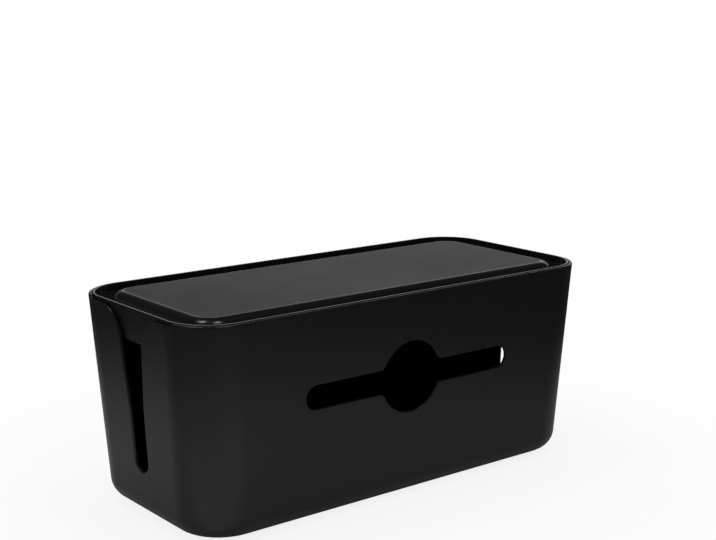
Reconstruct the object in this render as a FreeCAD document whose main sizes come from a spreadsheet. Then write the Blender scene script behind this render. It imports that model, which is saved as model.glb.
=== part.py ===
import FreeCAD, Part
import math
import os
import types
import Sketcher

# A desk box that hides a power strip and its leads: a moulded tub with leaning walls, a lid that drops into
# its rim, and four rubber feet. Lengths are in millimetres. The origin is the middle of the footprint, on the
# surface that the feet stand on. X runs along the box, Y from the slotted front to the back, and Z is up.

doc = FreeCAD.newDocument("cable_box")
sheet = doc.addObject("Spreadsheet::Sheet", "Sizes")

SIZES = [
    ("top_length", 320.0, "outside length at the rim"),
    ("top_width", 145.0, "outside width at the rim"),
    ("tub_height", 132.0, "from the tub's underside to its rim"),
    ("end_lean", 8.8, "how far each end wall leans out over the tub's height"),
    ("side_lean", 6.1, "how far each long wall leans out over the tub's height"),
    ("corner_radius", 32.0, "upright corners, seen from above"),
    ("base_round", 11.7, "edge between the walls and the underside"),
    ("wall", 2.2, "wall of the tub"),
    ("floor", 2.4, "floor of the tub"),
    ("rim_round", 0.8, "edges of the rim and of the end slots"),
    ("slot_length", 162.6, "slot in the front wall, end to end"),
    ("slot_height", 15.2, "slot in the front wall"),
    ("slot_level", 78.7, "middle of the slot above the tub's underside"),
    ("hole_radius", 23.2, "round hole in the middle of the slot, wide enough for a mains plug"),
    ("slot_blend", 6.0, "rounded corners where the slot runs into the hole"),
    ("slot_edge", 0.5, "outer edge of the slot and hole"),
    ("notch_bottom", 30.3, "lowest point of each end slot above the tub's underside"),
    ("notch_foot", 7.5, "half width of the end slot at its rounded bottom"),
    ("notch_knee", 7.9, "half width where the end slot starts to open"),
    ("knee_drop", 66.0, "from the rim down to that place"),
    ("knee_round", 60.0, "easing of the slot's side above it"),
    ("flare_radius", 20.0, "round shoulder from the end slot's side to the rim"),
    ("flare_reach", 31.0, "half width of the end slot at the rim"),
    ("lid_gap", 0.4, "play between the lid and the tub's walls"),
    ("seat_depth", 8.0, "from the rim down to the ribs that carry the lid"),
    ("rib_depth", 2.4, "how far a rib stands out at its top"),
    ("rib_width", 6.0, "width of a rib"),
    ("rib_from_end", 56.0, "ribs of the long walls, from the tub's outermost end"),
    ("rib_from_side", 38.5, "ribs of the end walls, from the tub's outermost side"),
    ("lip_rise", 0.4, "lid's lip and panel above the rim"),
    ("lip_wall", 1.6, "lip, skirt and flaps of the lid"),
    ("lip_round", 0.4, "top edges of the lip"),
    ("lid_plate", 2.0, "thickness of the lid's plate and panel"),
    ("groove_depth", 4.2, "from the panel's top down to the groove inside the lip"),
    ("groove_round", 1.2, "corners at the bottom of the groove"),
    ("panel_inset", 21.9, "from the tub's outside to the flat of the panel"),
    ("panel_round", 8.0, "rounded edge of the panel"),
    ("flap_drop", 20.5, "from the rim down to the flap's lower edge"),
    ("flap_width", 48.0, "width of a flap"),
    ("flap_corner", 4.0, "lower corners of a flap"),
    ("flap_edge", 0.4, "lower outer edge of a flap"),
    ("foot_radius", 6.0, "rubber foot"),
    ("foot_stand", 1.5, "how far a foot stands below the tub"),
    ("foot_seat", 0.5, "depth of a foot's seat"),
    ("foot_play", 0.3, "gap round a foot in its seat"),
    ("foot_edge", 0.5, "lower edge of a foot"),
    ("foot_from_end", 27.2, "middle of a foot from the end of the tub's underside"),
    ("foot_from_side", 24.4, "middle of a foot from the side of the tub's underside"),
]


class Length:
    """A length that carries its value and the expression that ties it to the sheet."""

    def __init__(self, value, text):
        self.value = value
        self.text = text

    def __add__(self, other):
        other = length(other)
        return Length(self.value + other.value, "(%s + %s)" % (self.text, other.text))

    def __sub__(self, other):
        other = length(other)
        return Length(self.value - other.value, "(%s - %s)" % (self.text, other.text))

    def __mul__(self, other):
        other = length(other)
        return Length(self.value * other.value, "%s * %s" % (self.text, other.text))

    def __truediv__(self, other):
        other = length(other)
        return Length(self.value / other.value, "%s / %s" % (self.text, other.text))

    def __neg__(self):
        return length(0) - self

    def __rsub__(self, other):
        return length(other) - self

    def __rmul__(self, other):
        return self * other


def length(given):
    """The given Length, or a plain number made into one."""
    if isinstance(given, Length):
        return given
    return Length(float(given), str(given))


size = types.SimpleNamespace()
for row, (alias, value, note) in enumerate(SIZES, start=1):
    sheet.set("A%d" % row, alias)
    sheet.set("B%d" % row, str(value))
    sheet.set("C%d" % row, note)
    sheet.setAlias("B%d" % row, alias)
    setattr(size, alias, Length(value, "Sizes." + alias))
doc.recompute()


# Bodies, sketches and features

def new_body(name, x, y, z):
    """A body named after its piece, with its own origin at the given place."""
    body = doc.addObject("PartDesign::Body", name)
    body.Label = name
    place = (length(x), length(y), length(z))
    body.Placement.Base = FreeCAD.Vector(*[part.value for part in place])
    for axis, part in zip("xyz", place):
        body.setExpression("Placement.Base." + axis, part.text)
    return body


def plane(body, role):
    """One of the body's own origin planes."""
    return next(item for item in body.Origin.OriginFeatures if item.Role == role)


def new_sketch(body, name, role, offset=0):
    """A sketch on one of the body's origin planes, moved along the plane's normal."""
    sketch = body.newObject("Sketcher::SketchObject", name)
    sketch.AttachmentSupport = (plane(body, role), [""])
    sketch.MapMode = "FlatFace"
    offset = length(offset)
    sketch.AttachmentOffset = FreeCAD.Placement(
        FreeCAD.Vector(0, 0, offset.value), FreeCAD.Rotation())
    sketch.setExpression("AttachmentOffset.Base.z", offset.text)
    return sketch


def tie(sketch, kind, *where):
    """A constraint with a dimension, which is the last thing given."""
    given = length(where[-1])
    index = sketch.addConstraint(Sketcher.Constraint(kind, *where[:-1], given.value))
    sketch.setExpression("Constraints[%d]" % index, given.text)


def pin(sketch, piece, end, x, y):
    """Holds one end, or the centre, of a piece of a sketch at a place."""
    tie(sketch, "DistanceX", -1, 1, piece, end, x)
    tie(sketch, "DistanceY", -1, 1, piece, end, y)


def point(x, y):
    """A place in a sketch, from two lengths or plain numbers."""
    return FreeCAD.Vector(length(x).value, length(y).value, 0)


def line(sketch, start, end):
    """Adds a straight line and gives its index."""
    return sketch.addGeometry(Part.LineSegment(start, end), False)


def arc(sketch, centre, radius, first, last):
    """Adds an arc that runs anticlockwise between two angles in degrees, and gives its index."""
    circle = Part.Circle(centre, FreeCAD.Vector(0, 0, 1), radius)
    return sketch.addGeometry(
        Part.ArcOfCircle(circle, math.radians(first), math.radians(last)), False)


def rounded_outline(sketch, long_side, short_side, radius):
    """A rectangle about the sketch's origin, with four equal rounded corners."""
    half_x = long_side.value / 2
    half_y = short_side.value / 2
    bend = radius.value
    in_x = half_x - bend
    in_y = half_y - bend
    front = line(sketch, point(-in_x, -half_y), point(in_x, -half_y))
    corner = arc(sketch, point(in_x, -in_y), bend, 270, 360)
    right = line(sketch, point(half_x, -in_y), point(half_x, in_y))
    far = arc(sketch, point(in_x, in_y), bend, 0, 90)
    back = line(sketch, point(in_x, half_y), point(-in_x, half_y))
    opposite = arc(sketch, point(-in_x, in_y), bend, 90, 180)
    left = line(sketch, point(-half_x, in_y), point(-half_x, -in_y))
    near = arc(sketch, point(-in_x, -in_y), bend, 180, 270)
    ring = (front, corner, right, far, back, opposite, left, near)
    for piece, following in zip(ring, ring[1:] + ring[:1]):
        sketch.addConstraint(Sketcher.Constraint("Tangent", piece, 2, following, 1))
    for piece in (front, back):
        sketch.addConstraint(Sketcher.Constraint("Horizontal", piece))
    for piece in (right, left):
        sketch.addConstraint(Sketcher.Constraint("Vertical", piece))
    for piece in (far, opposite, near):
        sketch.addConstraint(Sketcher.Constraint("Equal", corner, piece))
    sketch.addConstraint(Sketcher.Constraint("Symmetric", corner, 3, opposite, 3, -1, 1))
    tie(sketch, "DistanceX", left, 1, right, 1, long_side)
    tie(sketch, "DistanceY", front, 1, back, 1, short_side)
    tie(sketch, "Radius", corner, radius)


def wall_outline(sketch, height, inset):
    """The leaning walls' outline at a height above the tub's underside, moved in by inset."""
    down = 1 - height / size.tub_height
    rounded_outline(
        sketch,
        size.top_length - 2 * (size.end_lean * down + inset),
        size.top_width - 2 * (size.side_lean * down + inset),
        size.corner_radius - inset)


def loft(body, kind, name, upper, lower):
    """Ruled walls from the upper sketch down to the lower one."""
    feature = body.newObject("PartDesign::" + kind, name)
    feature.Profile = upper
    feature.Sections = [lower]
    feature.Ruled = True
    feature.Refine = False
    doc.recompute()
    return feature


def grow(body, kind, name, sketch, depth, reverse=False, both_ways=False):
    """A pad or a pocket of a sketch."""
    feature = body.newObject("PartDesign::" + kind, name)
    feature.Profile = sketch
    feature.Length = length(depth).value
    feature.setExpression("Length", length(depth).text)
    feature.Reversed = reverse
    feature.Midplane = both_ways
    doc.recompute()
    return feature


def middle_of(edge):
    """The place half way along an edge."""
    return edge.valueAt((edge.FirstParameter + edge.LastParameter) / 2)


def mirror(body, name, feature, role):
    """The same feature again on the other side of one of the body's planes."""
    copy = body.newObject("PartDesign::Mirrored", name)
    copy.Originals = [feature]
    copy.MirrorPlane = (plane(body, role), [""])
    body.Tip = copy
    doc.recompute()
    return copy


def round_edges(body, name, radius, chosen):
    """Rounds the edges of the body so far for which chosen says yes."""
    base = body.Tip
    edges = ["Edge%d" % index for index, edge in enumerate(base.Shape.Edges, start=1) if chosen(edge)]
    feature = body.newObject("PartDesign::Fillet", name)
    feature.Base = (base, edges)
    feature.Radius = radius.value
    feature.setExpression("Radius", radius.text)
    feature.Refine = False
    doc.recompute()
    return feature


def at_level(height):
    """A test for edges that lie in one level plane."""
    def test(edge):
        spots = [vertex.Point for vertex in edge.Vertexes] + [middle_of(edge)]
        return all(abs(spot.z - length(height).value) < 0.01 for spot in spots)
    return test


# Tub

def on_circle(centre, radius, angle):
    """The place on a circle at an angle in degrees."""
    turn = math.radians(angle)
    return centre + FreeCAD.Vector(math.cos(turn), math.sin(turn), 0) * radius


def shared_tangent(first, first_radius, second, second_radius):
    """The angle at which a line touches two circles. A circle on the line's other side has a minus radius."""
    away = second - first
    spread = math.acos((first_radius - second_radius) / away.Length)
    return math.degrees(math.atan2(away.y, away.x) + spread)


def end_slots(body):
    """Cuts the slot in both end walls: a round bottom, sides that open upwards, and round shoulders."""
    sketch = new_sketch(body, "EndSlotOutline", "YZ_Plane")
    above = size.tub_height + size.flare_radius
    foot_level = size.notch_bottom + size.notch_foot
    flare_level = size.tub_height - size.flare_radius
    knee_reach = size.notch_knee + size.knee_round
    knee_level = size.tub_height - size.knee_drop
    foot_centre = point(0, foot_level)
    knee_centre = point(knee_reach, knee_level)
    flare_centre = point(size.flare_reach, flare_level)
    foot_radius = size.notch_foot.value
    knee_radius = size.knee_round.value
    flare_radius = size.flare_radius.value
    low = shared_tangent(foot_centre, -foot_radius, knee_centre, knee_radius)
    high = shared_tangent(knee_centre, knee_radius, flare_centre, flare_radius)
    foot_touch = on_circle(foot_centre, foot_radius, low + 180)
    knee_low = on_circle(knee_centre, knee_radius, low)
    knee_high = on_circle(knee_centre, knee_radius, high)
    flare_touch = on_circle(flare_centre, flare_radius, high)

    bottom = arc(sketch, foot_centre, foot_radius, 360 - low, 180 + low)
    sketch.addConstraint(Sketcher.Constraint("PointOnObject", bottom, 3, -2))
    tie(sketch, "DistanceY", -1, 1, bottom, 3, foot_level)
    tie(sketch, "Radius", bottom, size.notch_foot)
    tops = []
    for side, foot_end in ((1, 2), (-1, 1)):
        knee_angles = (high, low) if side > 0 else (180 - low, 180 - high)
        flare_angles = (90, high) if side > 0 else (180 - high, 90)
        lower_end, upper_end = (2, 1) if side > 0 else (1, 2)
        knee = arc(sketch, point(side * knee_centre.x, knee_centre.y), knee_radius, *knee_angles)
        flare = arc(sketch, point(side * flare_centre.x, flare_centre.y), flare_radius, *flare_angles)
        lower = line(
            sketch, point(side * foot_touch.x, foot_touch.y), point(side * knee_low.x, knee_low.y))
        upper = line(
            sketch, point(side * knee_high.x, knee_high.y), point(side * flare_touch.x, flare_touch.y))
        rise = line(
            sketch,
            point(side * size.flare_reach, size.tub_height),
            point(side * size.flare_reach, above))
        sketch.addConstraint(Sketcher.Constraint("Tangent", bottom, foot_end, lower, 1))
        sketch.addConstraint(Sketcher.Constraint("Tangent", lower, 2, knee, lower_end))
        sketch.addConstraint(Sketcher.Constraint("Tangent", knee, upper_end, upper, 1))
        sketch.addConstraint(Sketcher.Constraint("Tangent", upper, 2, flare, lower_end))
        sketch.addConstraint(Sketcher.Constraint("Coincident", flare, upper_end, rise, 1))
        sketch.addConstraint(Sketcher.Constraint("Vertical", rise))
        sketch.addConstraint(Sketcher.Constraint("Vertical", flare, 3, flare, upper_end))
        pin(sketch, knee, 3, side * knee_reach, knee_level)
        pin(sketch, flare, 3, side * size.flare_reach, flare_level)
        tie(sketch, "Radius", knee, size.knee_round)
        tie(sketch, "Radius", flare, size.flare_radius)
        tops.append(rise)
    top = line(sketch, point(size.flare_reach, above), point(-size.flare_reach, above))
    sketch.addConstraint(Sketcher.Constraint("Coincident", tops[0], 2, top, 1))
    sketch.addConstraint(Sketcher.Constraint("Coincident", tops[1], 2, top, 2))
    sketch.addConstraint(Sketcher.Constraint("Horizontal", top))
    tie(sketch, "DistanceY", -1, 1, top, 1, above)
    grow(body, "Pocket", "EndSlots", sketch, 2 * size.top_length, both_ways=True)


def long_slot(body):
    """Cuts the slot and the round hole in the front wall, in one outline with soft corners."""
    half = size.slot_height / 2
    reach = size.slot_length / 2 - half
    blend = size.slot_blend.value
    level = size.slot_level.value
    rise = half.value + blend
    aside = math.sqrt((size.hole_radius.value + blend) ** 2 - rise ** 2)
    turn = math.degrees(math.atan2(rise, aside))
    sketch = new_sketch(body, "SlotOutline", "XZ_Plane")
    right = arc(sketch, point(reach, level), half.value, -90, 90)
    left = arc(sketch, point(-reach, level), half.value, 90, 270)
    top = arc(sketch, point(0, level), size.hole_radius.value, turn, 180 - turn)
    bottom = arc(sketch, point(0, level), size.hole_radius.value, 180 + turn, 360 - turn)
    blends = [
        arc(sketch, point(aside, level + rise), blend, 180 + turn, 270),
        arc(sketch, point(-aside, level + rise), blend, 270, 360 - turn),
        arc(sketch, point(-aside, level - rise), blend, turn, 90),
        arc(sketch, point(aside, level - rise), blend, 90, 180 - turn)]
    high = level + half.value
    low = level - half.value
    lines = [
        line(sketch, point(reach, high), point(aside, high)),
        line(sketch, point(-aside, high), point(-reach, high)),
        line(sketch, point(-reach, low), point(-aside, low)),
        line(sketch, point(aside, low), point(reach, low))]
    ring = [
        (right, 1, 2), (lines[0], 1, 2), (blends[0], 2, 1),
        (top, 1, 2), (blends[1], 2, 1), (lines[1], 1, 2),
        (left, 1, 2), (lines[2], 1, 2), (blends[2], 2, 1),
        (bottom, 1, 2), (blends[3], 2, 1), (lines[3], 1, 2)]
    for (piece, enter, leave), (following, start, stop) in zip(ring, ring[1:] + ring[:1]):
        sketch.addConstraint(Sketcher.Constraint("Tangent", piece, leave, following, start))
    for piece in lines:
        sketch.addConstraint(Sketcher.Constraint("Horizontal", piece))
    for piece in blends[1:]:
        sketch.addConstraint(Sketcher.Constraint("Equal", blends[0], piece))
    sketch.addConstraint(Sketcher.Constraint("Equal", right, left))
    sketch.addConstraint(Sketcher.Constraint("Equal", top, bottom))
    sketch.addConstraint(Sketcher.Constraint("Coincident", top, 3, bottom, 3))
    sketch.addConstraint(Sketcher.Constraint("PointOnObject", top, 3, -2))
    tie(sketch, "DistanceY", -1, 1, top, 3, size.slot_level)
    pin(sketch, right, 3, reach, size.slot_level)
    pin(sketch, left, 3, -reach, size.slot_level)
    tie(sketch, "Radius", right, half)
    tie(sketch, "Radius", top, size.hole_radius)
    tie(sketch, "Radius", blends[0], size.slot_blend)
    grow(body, "Pocket", "Slot", sketch, size.top_width, reverse=True)


def lid_ribs(body):
    """Upright ribs inside the walls. Their tops are the lid's seat, and below they run out into the wall."""
    seat = size.tub_height - size.seat_depth
    walls = (
        ("Side", "YZ_Plane", size.top_width, size.side_lean, size.top_length / 2 - size.rib_from_end),
        ("End", "XZ_Plane", size.top_length, size.end_lean, size.rib_from_side - size.top_width / 2))
    for name, role, across, lean, place in walls:
        inner_face = across / 2 - size.wall - lean * size.seat_depth / size.tub_height
        middle = inner_face + size.wall / 2
        tip = inner_face - size.rib_depth
        run_out = seat - (size.rib_depth + size.wall / 2) * size.tub_height / lean
        sketch = new_sketch(body, name + "RibOutline", role, place)
        for side in (-1, 1):
            corners = [(side * tip, seat), (side * middle, seat), (side * tip, run_out)]
            places = [point(*corner) for corner in corners]
            edges = [line(sketch, places[i], places[(i + 1) % 3]) for i in range(3)]
            for i in range(3):
                sketch.addConstraint(Sketcher.Constraint("Coincident", edges[i], 2, edges[(i + 1) % 3], 1))
                pin(sketch, edges[i], 1, *corners[i])
        ribs = grow(body, "Pad", name + "Ribs", sketch, size.rib_width, both_ways=True)
        mirror(body, name + "RibsMirrored", ribs, role)


def foot_places():
    """The name and the place of each foot."""
    along = size.top_length / 2 - size.end_lean - size.foot_from_end
    across = size.top_width / 2 - size.side_lean - size.foot_from_side
    return [
        ("foot_%s_%s" % (face, side), x, y)
        for side, x in (("left", -along), ("right", along))
        for face, y in (("front", -across), ("back", across))]


def foot_seats(body):
    """Shallow round seats under the floor, one for each foot."""
    sketch = new_sketch(body, "FootSeatOutline", "XY_Plane")
    radius = size.foot_radius + size.foot_play
    for name, x, y in foot_places():
        circle = Part.Circle(point(x, y), FreeCAD.Vector(0, 0, 1), radius.value)
        seat = sketch.addGeometry(circle, False)
        pin(sketch, seat, 3, x, y)
        tie(sketch, "Radius", seat, radius)
    grow(body, "Pocket", "FootSeats", sketch, size.foot_seat, reverse=True)


def on_front_of_slot(edge):
    """Whether an edge of the front slot or its hole is on the outside of the wall."""
    spot = middle_of(edge)
    down = 1 - spot.z / size.tub_height.value
    outside = size.top_width.value / 2 - size.side_lean.value * down
    inside_outline = (
        abs(spot.x) < size.slot_length.value / 2 + 1
        and abs(spot.z - size.slot_level.value) < size.hole_radius.value + 1)
    return inside_outline and abs(spot.y + outside) < 0.05 and edge.Length < size.slot_length.value


def make_tub():
    """The open box: leaning walls, round corners, slots and the ribs that carry the lid."""
    body = new_body("tub", 0, 0, size.foot_stand)
    bottom = new_sketch(body, "BottomOutline", "XY_Plane")
    wall_outline(bottom, length(0), length(0))
    rim = new_sketch(body, "RimOutline", "XY_Plane", size.tub_height)
    wall_outline(rim, size.tub_height, length(0))
    loft(body, "AdditiveLoft", "Walls", rim, bottom)

    floor = new_sketch(body, "FloorOutline", "XY_Plane", size.floor)
    wall_outline(floor, size.floor, size.wall)
    mouth = new_sketch(body, "MouthOutline", "XY_Plane", size.tub_height)
    wall_outline(mouth, size.tub_height, size.wall)
    loft(body, "SubtractiveLoft", "Hollow", mouth, floor)
    round_edges(body, "FloorRound", size.base_round - size.wall, at_level(size.floor))
    round_edges(body, "BaseRound", size.base_round, at_level(0))

    lid_ribs(body)
    long_slot(body)
    round_edges(body, "SlotEdge", size.slot_edge, on_front_of_slot)
    end_slots(body)
    round_edges(body, "RimRound", size.rim_round, at_level(size.tub_height))
    foot_seats(body)
    return body


# Lid

def level_outline(sketch, inset):
    """The rim's outline moved in by inset, for walls that stand upright."""
    wall_outline(sketch, size.tub_height, inset)


def leaning_ring(sketch, level, inset, thickness):
    """The section of a leaning ring at a level above the rim."""
    wall_outline(sketch, size.tub_height + level, inset)
    wall_outline(sketch, size.tub_height + level, inset + thickness)


def lid_panel(body):
    """The raised panel, a thin shell with a rounded edge, from its top down to the plate's underside."""
    foot_of_panel = size.panel_inset - size.panel_round
    outside = new_sketch(body, "PanelOutline", "XY_Plane", -size.flap_drop)
    level_outline(outside, foot_of_panel)
    grow(body, "Pad", "Panel", outside, size.flap_drop + size.lip_rise)
    inside = new_sketch(body, "PanelHollowOutline", "XY_Plane", -size.flap_drop)
    level_outline(inside, foot_of_panel + size.lid_plate)
    depth = size.flap_drop + size.lip_rise - size.lid_plate
    grow(body, "Pocket", "PanelHollow", inside, depth, reverse=True)
    ceiling = size.lip_rise - size.lid_plate
    inner_round = size.panel_round - size.lid_plate
    round_edges(body, "PanelHollowRound", inner_round, at_level(ceiling))
    round_edges(body, "PanelRound", size.panel_round, at_level(size.lip_rise))
    underside = size.lip_rise - size.groove_depth - size.lid_plate
    below = new_sketch(body, "PanelTrimOutline", "XY_Plane", underside)
    level_outline(below, length(0))
    grow(body, "Pocket", "PanelTrim", below, size.flap_drop)


def make_lid():
    """The lid: a lip, a groove, a raised panel, a skirt that rests on the ribs, and a flap at each end."""
    body = new_body("lid", 0, 0, size.foot_stand + size.tub_height)
    lid_panel(body)
    inset = size.wall + size.lid_gap
    groove_floor = size.lip_rise - size.groove_depth
    underside = groove_floor - size.lid_plate
    inside_panel = size.panel_inset - size.panel_round + 0.8 * size.lid_plate

    low = new_sketch(body, "PlateLowOutline", "XY_Plane", underside)
    wall_outline(low, size.tub_height + underside, inset)
    level_outline(low, inside_panel)
    high = new_sketch(body, "PlateHighOutline", "XY_Plane", groove_floor)
    wall_outline(high, size.tub_height + groove_floor, inset)
    level_outline(high, inside_panel)
    loft(body, "AdditiveLoft", "Plate", high, low)

    low = new_sketch(body, "BandLowOutline", "XY_Plane", -size.flap_drop)
    leaning_ring(low, -size.flap_drop, inset, size.lip_wall)
    high = new_sketch(body, "BandHighOutline", "XY_Plane", size.lip_rise)
    leaning_ring(high, size.lip_rise, inset, size.lip_wall)
    loft(body, "AdditiveLoft", "Band", high, low)
    trim_flaps(body)
    round_edges(body, "GrooveRound", size.groove_round, at_level(groove_floor))
    round_edges(body, "LipRound", size.lip_round, on_lip_top)
    return body


def trim_flaps(body):
    """Cuts the skirt back to its seat, apart from the flap at each end, which keeps round lower corners."""
    half = size.flap_width / 2
    inner = half - size.flap_corner
    corner_level = size.flap_corner - size.flap_drop
    below = -2 * size.flap_drop
    sketch = new_sketch(body, "FlapOutline", "YZ_Plane")
    for side in (-1, 1):
        angles = (270, 360) if side > 0 else (180, 270)
        bend = arc(sketch, point(side * inner, corner_level), size.flap_corner.value, *angles)
        upper_end, lower_end = (2, 1) if side > 0 else (1, 2)
        spots = [
            (side * half, corner_level), (side * half, -size.seat_depth),
            (side * size.top_width, -size.seat_depth), (side * size.top_width, below),
            (side * inner, below), (side * inner, -size.flap_drop)]
        places = [point(*spot) for spot in spots]
        edges = [line(sketch, start, end) for start, end in zip(places, places[1:])]
        for edge, following in zip(edges, edges[1:]):
            sketch.addConstraint(Sketcher.Constraint("Coincident", edge, 2, following, 1))
        for edge, spot in zip(edges, spots):
            pin(sketch, edge, 1, *spot)
        sketch.addConstraint(Sketcher.Constraint("Coincident", edges[-1], 2, bend, lower_end))
        sketch.addConstraint(Sketcher.Constraint("Coincident", edges[0], 1, bend, upper_end))
        pin(sketch, bend, 3, side * inner, corner_level)
        sketch.addConstraint(Sketcher.Constraint("Vertical", bend, 3, bend, lower_end))
    grow(body, "Pocket", "Flaps", sketch, 2 * size.top_length, both_ways=True)
    round_edges(body, "FlapEdge", size.flap_edge, at_level(-size.flap_drop))


def inset_of(spot):
    """How far inside the rim's outline a place is, seen from above."""
    past_x = max(abs(spot.x) - size.top_length.value / 2 + size.corner_radius.value, 0)
    past_y = max(abs(spot.y) - size.top_width.value / 2 + size.corner_radius.value, 0)
    return size.corner_radius.value - math.hypot(past_x, past_y)


def on_lip_top(edge):
    """Whether an edge is one of those on top of the lip."""
    return at_level(size.lip_rise)(edge) and inset_of(middle_of(edge)) < size.panel_inset.value / 2


# Feet

def make_foot(name, x, y):
    """One round rubber foot, glued into its seat under the tub."""
    body = new_body(name, x, y, 0)
    sketch = new_sketch(body, "FootOutline", "XY_Plane")
    circle = Part.Circle(point(0, 0), FreeCAD.Vector(0, 0, 1), size.foot_radius.value)
    outline = sketch.addGeometry(circle, False)
    sketch.addConstraint(Sketcher.Constraint("Coincident", outline, 3, -1, 1))
    tie(sketch, "Radius", outline, size.foot_radius)
    grow(body, "Pad", "Disc", sketch, size.foot_stand + size.foot_seat)
    round_edges(body, "FootEdge", size.foot_edge, at_level(0))
    return body


pieces = [make_tub(), make_lid()] + [make_foot(*place) for place in foot_places()]
doc.recompute()

for item in doc.Objects:
    if "Invalid" in item.State or "Error" in item.State:
        raise RuntimeError("%s: %s" % (item.Name, item.getStatusString()))
for piece in pieces:
    shape = piece.Shape
    if shape.isNull() or not shape.isValid() or len(shape.Solids) != 1:
        raise RuntimeError("%s is not one valid solid" % piece.Label)

os.makedirs("parts", exist_ok=True)
for piece in pieces:
    piece.Shape.exportStep("parts/%s.step" % piece.Label)
    print(piece.Label, round(piece.Shape.Volume, 1), piece.Shape.BoundBox)
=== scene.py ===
import math

import bmesh
import bpy
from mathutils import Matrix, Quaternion, Vector


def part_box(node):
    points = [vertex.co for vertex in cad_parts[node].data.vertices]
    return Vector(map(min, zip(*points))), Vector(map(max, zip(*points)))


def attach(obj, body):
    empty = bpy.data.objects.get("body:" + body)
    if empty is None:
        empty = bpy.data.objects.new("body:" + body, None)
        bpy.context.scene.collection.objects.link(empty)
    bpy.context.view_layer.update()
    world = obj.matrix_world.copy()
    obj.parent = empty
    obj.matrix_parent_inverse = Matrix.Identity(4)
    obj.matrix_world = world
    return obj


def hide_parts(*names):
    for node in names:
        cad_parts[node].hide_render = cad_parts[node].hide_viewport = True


bl_info = {
    "name": "Cable box",
    "version": (1, 0, 0),
    "blender": (4, 5, 0),
    "location": "3D View > Sidebar > Cable box",
    "description": "Models a moulded cable box with its lid and feet, and a plain studio around it",
    "category": "Add Mesh",
}

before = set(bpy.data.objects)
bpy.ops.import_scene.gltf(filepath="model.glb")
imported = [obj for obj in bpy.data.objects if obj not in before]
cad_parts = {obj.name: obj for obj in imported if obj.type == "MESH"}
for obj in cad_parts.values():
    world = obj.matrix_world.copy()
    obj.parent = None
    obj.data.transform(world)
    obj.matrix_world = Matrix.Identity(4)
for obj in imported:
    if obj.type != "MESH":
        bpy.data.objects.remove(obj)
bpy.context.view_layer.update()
tub_low, tub_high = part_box("tub")
lid_low, lid_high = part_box("lid")
foot_low, foot_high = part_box("foot_front_left")

MM = 0.001

# Points this close count as one place. Finished pieces are merged at the finer distance after it.
SAME_PLACE = 0.01 * MM
MERGE_WITHIN = 0.002 * MM

# How far a point may lie outside the range in which it is looked for.
SLACK = 0.1 * MM

SMOOTH_UP_TO = math.radians(50)


def length(name, description, default):
    """A length that the user can change, in metres."""
    return bpy.props.FloatProperty(
        name=name, description=description, default=default, min=0, unit="LENGTH", precision=5)


def count(name, description, default):
    """A number of steps that the user can change."""
    return bpy.props.IntProperty(name=name, description=description, default=default, min=1)


def share(name, description, default):
    """A share from 0 to 1 that the user can change."""
    return bpy.props.FloatProperty(
        name=name, description=description, default=default, min=0, max=1, subtype="FACTOR")


def colour(name, description, default):
    """A colour that the user can change."""
    return bpy.props.FloatVectorProperty(
        name=name, description=description, default=default, size=3, min=0, max=1, subtype="COLOR")


# Sizes

class TubSizes(bpy.types.PropertyGroup):
    """Sizes of the tub. Its length, width and height come from the frame."""

    rim_length: length("Rim length", "Outside length at the rim", tub_high.x - tub_low.x + 0.12 * MM)
    rim_width: length("Rim width", "Outside width at the rim", tub_high.y - tub_low.y + 0.08 * MM)
    underside: length("Underside", "Height of the underside above the desk", tub_low.z)
    rim: length("Rim", "Height of the rim above the desk", tub_high.z)
    end_lean: length("End lean", "How far each end wall leans out", 8.8 * MM)
    side_lean: length("Side lean", "How far each long wall leans out", 6.1 * MM)
    corner: length("Corner", "Radius of the upright corners", 32 * MM)
    corner_steps: count("Corner steps", "Faces round each upright corner", 24)
    base_round: length("Base round", "Radius between the walls and the underside", 11.7 * MM)
    base_steps: count("Base steps", "Faces across the rounding of the base", 10)
    wall: length("Wall", "Thickness of the walls and the floor", 2.2 * MM)
    rim_round: length("Rim round", "Radius of the outer edge of the rim and the end slots", 1.2 * MM)
    rim_inside: length("Rim inside", "Radius of the inner edge of the rim and the end slots", 0.4 * MM)
    rib_reach: length("Rib reach", "How far a rib stands out at its top", 2.4 * MM)
    rib_width: length("Rib width", "Width of a rib", 6 * MM)
    rib_along: length("Rib along", "Ribs of the long walls, from the middle", 104 * MM)
    rib_across: length("Rib across", "Ribs of the end walls, from the middle", 34 * MM)
    rib_taper: share("Rib taper", "Share of its thickness that a rib loses down to its foot", 0.98)
    seat_depth: length("Seat depth", "From the rim down to the tops of the ribs", 8 * MM)


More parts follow.
